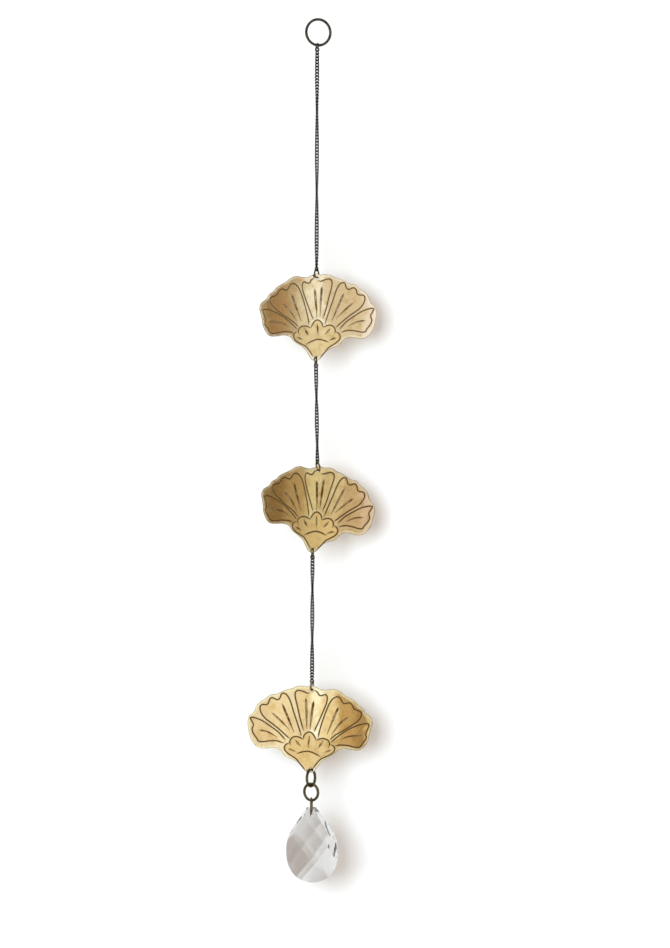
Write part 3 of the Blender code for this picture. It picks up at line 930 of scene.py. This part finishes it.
seat(drop, "crystal_drop")

finish = Finish("cut_glass")
# The grey tint is partly painted shade: besides a faint real tint, it darkens the clear glass towards the
# grey that the shadowed wall behind it gives.
finish.shader.inputs["Base Color"].default_value = (0.72, 0.71, 0.70, 1.0)
finish.shader.inputs["Transmission Weight"].default_value = 1.0
finish.shader.inputs["IOR"].default_value = 1.52
finish.shader.inputs["Metallic"].default_value = 0.0
patchy = finish.noise(3.0, detail=3, shift=1.0)
finish.join(finish.ramp(patchy, 0.45, 0.8, 0.0, 0.04), finish.shader.inputs["Roughness"])
hand_over(drop, "crystal_drop", finish.material)


# ---------------------------------------------------------------------------------------------------------
# Studio
# A white wall just behind the suncatcher, a pale floor below it, a big soft window light from the left, and
# another behind the wall for the floor there.

def matt(name, colour, one_sided=False):
    material = bpy.data.materials.new(name)
    material.use_nodes = True
    tree = material.node_tree
    shader = tree.nodes["Principled BSDF"]
    shader.inputs["Base Color"].default_value = (*colour, 1.0)
    shader.inputs["Roughness"].default_value = 0.9
    shader.inputs["Specular IOR Level"].default_value = 0.1
    if one_sided:
        see_through = tree.nodes.new("ShaderNodeBsdfTransparent")
        side = tree.nodes.new("ShaderNodeNewGeometry")
        chosen = tree.nodes.new("ShaderNodeMixShader")
        tree.links.new(side.outputs["Backfacing"], chosen.inputs["Fac"])
        tree.links.new(shader.outputs["BSDF"], chosen.inputs[1])
        tree.links.new(see_through.outputs["BSDF"], chosen.inputs[2])
        tree.links.new(chosen.outputs["Shader"], tree.nodes["Material Output"].inputs["Surface"])
    return material


WALL_BEHIND = 0.0325
deselect_all()
bpy.ops.mesh.primitive_plane_add(size=3.0, location=(0, WALL_BEHIND, -0.25), rotation=(math.pi / 2, 0, 0))
wall = bpy.context.object
wall.name = "studio_wall"
wall.data.materials.append(matt("wall_white", (0.80, 0.80, 0.795), one_sided=True))
bpy.ops.mesh.primitive_plane_add(size=6.0, location=(0, 0, -1.2))
floor = bpy.context.object
floor.name = "studio_floor"
floor.data.materials.append(matt("floor_pale", (0.85, 0.85, 0.84)))


def soft_light(name, place, size, power, colour):
    lamp = bpy.data.lights.new(name, "AREA")
    lamp.shape = "RECTANGLE"
    lamp.size = size
    lamp.size_y = size
    lamp.energy = power
    lamp.color = colour
    light = bpy.data.objects.new(name, lamp)
    bpy.context.collection.objects.link(light)
    light.location = place
    light.rotation_euler = (Vector((0, 0, -0.22)) - light.location).to_track_quat("-Z", "Y").to_euler()
    light.visible_glossy = False
    light.visible_transmission = False


soft_light("window", (-0.73, -2.39, 0.0), 1.1, 58, (0.785, 0.91, 1.0))
soft_light("behind_the_wall", (0.9, 2.2, 0.6), 1.6, 70, (0.80, 0.92, 1.0))

# What the polished metal and the glass reflect: the room in front of the wall, by how far it is turned to the
# right of the camera, in degrees. Its right corner is dark.
ROOM = (
    (-180, 0.90, 0.90, 0.90), (-60, 1.30, 1.30, 1.30), (-20, 1.10, 1.10, 1.09), (0, 1.15, 1.14, 1.12),
    (13, 1.25, 1.24, 1.21), (25, 1.0, 0.99, 0.97), (35, 0.95, 0.94, 0.92), (46, 1.15, 1.14, 1.12),
    (52, 0.80, 0.79, 0.76), (58, 0.46, 0.44, 0.41), (65, 0.30, 0.28, 0.25), (80, 0.20, 0.18, 0.16),
    (110, 0.40, 0.38, 0.35), (150, 0.80, 0.79, 0.77), (180, 0.90, 0.90, 0.90),
)
world = bpy.data.worlds.new("studio_room")
bpy.context.scene.world = world
world.use_nodes = True
room = world.node_tree
facing = room.nodes.new("ShaderNodeTexCoord")
parts = room.nodes.new("ShaderNodeSeparateXYZ")
room.links.new(facing.outputs["Generated"], parts.inputs["Vector"])
to_front = room.nodes.new("ShaderNodeMath")
to_front.operation = "MULTIPLY"
to_front.inputs[1].default_value = -1
room.links.new(parts.outputs["Y"], to_front.inputs[0])
turned = room.nodes.new("ShaderNodeMath")
turned.operation = "ARCTAN2"
room.links.new(parts.outputs["X"], turned.inputs[0])
room.links.new(to_front.outputs["Value"], turned.inputs[1])
share = room.nodes.new("ShaderNodeMapRange")
share.inputs["From Min"].default_value = -math.pi
share.inputs["From Max"].default_value = math.pi
room.links.new(turned.outputs["Value"], share.inputs["Value"])
tones = room.nodes.new("ShaderNodeValToRGB")
tones.color_ramp.interpolation = "LINEAR"
stops = tones.color_ramp.elements
for turn, *_ in ROOM[1:-1]:
    stops.new(turn / 360 + 0.5)
for stop, (turn, *tone) in zip(stops, ROOM):
    stop.position = turn / 360 + 0.5
    stop.color = (*tone, 1)
room.links.new(share.outputs["Result"], tones.inputs["Fac"])
rays = room.nodes.new("ShaderNodeLightPath")


def seen_by(kind, amount, before, tone):
    """The room's tone, brought this far towards an even tone for one kind of light ray."""
    far = room.nodes.new("ShaderNodeMath")
    far.operation = "MULTIPLY"
    far.inputs[1].default_value = amount
    room.links.new(rays.outputs[kind], far.inputs[0])
    mix = room.nodes.new("ShaderNodeMix")
    mix.data_type = "RGBA"
    room.links.new(far.outputs["Value"], mix.inputs["Factor"])
    colours = [socket for socket in mix.inputs if socket.type == "RGBA"]
    room.links.new(before, colours[0])
    colours[1].default_value = (*tone, 1)
    return [socket for socket in mix.outputs if socket.type == "RGBA"][0]


through_glass = seen_by("Is Transmission Ray", 0.3, tones.outputs["Color"], (0.68, 0.67, 0.66))
on_the_wall = seen_by("Is Diffuse Ray", 1.0, through_glass, (0.66, 0.545, 0.46))
room.links.new(on_the_wall, room.nodes["Background"].inputs["Color"])
room.nodes["Background"].inputs["Strength"].default_value = 1.0

# The camera stands level, straight in front of the middle of the view.
VIEW_DISTANCE = 2.2
VIEW_MIDDLE = (0.0083, -0.22685)
lens = bpy.data.cameras.new("camera")
lens.lens = 167
lens.sensor_width = 36
lens.clip_start = 0.05
camera = bpy.data.objects.new("camera", lens)
bpy.context.collection.objects.link(camera)
camera.location = (VIEW_MIDDLE[0], -VIEW_DISTANCE, VIEW_MIDDLE[1])
camera.rotation_euler = (math.pi / 2, 0, 0)
bpy.context.scene.camera = camera
bpy.context.scene.view_settings.view_transform = "Standard"
